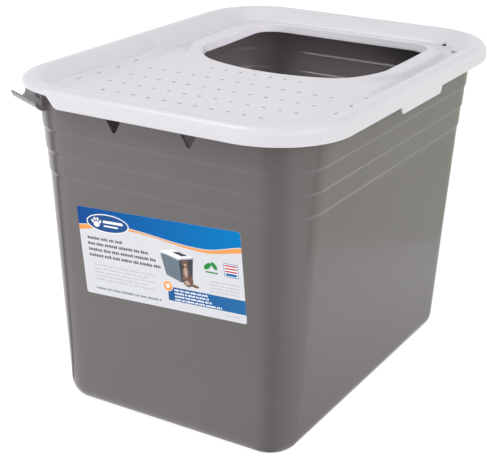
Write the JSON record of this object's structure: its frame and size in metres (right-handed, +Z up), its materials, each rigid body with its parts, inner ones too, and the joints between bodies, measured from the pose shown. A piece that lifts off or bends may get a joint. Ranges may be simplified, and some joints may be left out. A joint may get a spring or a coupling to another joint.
{
  "type": "cat litter box with hood",
  "caption": "Tapered open tub with a hinged top-entry lid that has a recessed, perforated walkway and a large entry opening.",
  "frame": {"origin": "on the floor, under the middle of the tub's base", "axes": "+Z up, +Y along the long way towards the entry opening, +X towards the lift tab, -Y the labelled end"},
  "size_m": [0.3971, 0.514, 0.377],
  "materials": {
    "tub_plastic": "warm grey moulded polypropylene, satin gloss with a fine mould texture",
    "lid_plastic": "off-white moulded polypropylene, satin gloss",
    "label_film": null
  },
  "bodies": {
    "tub": {"tub": "tub_plastic", "front_label": "label_film"},
    "lid": {"lid": "lid_plastic"}
  },
  "joints": [
    {"name": "lid_hinge", "type": "hinge", "parent": "tub", "child": "lid", "pos_m": [-0.183, 0, 0.36], "axis": [0, -1, 0], "range_deg": [0, 100]}
  ]
}
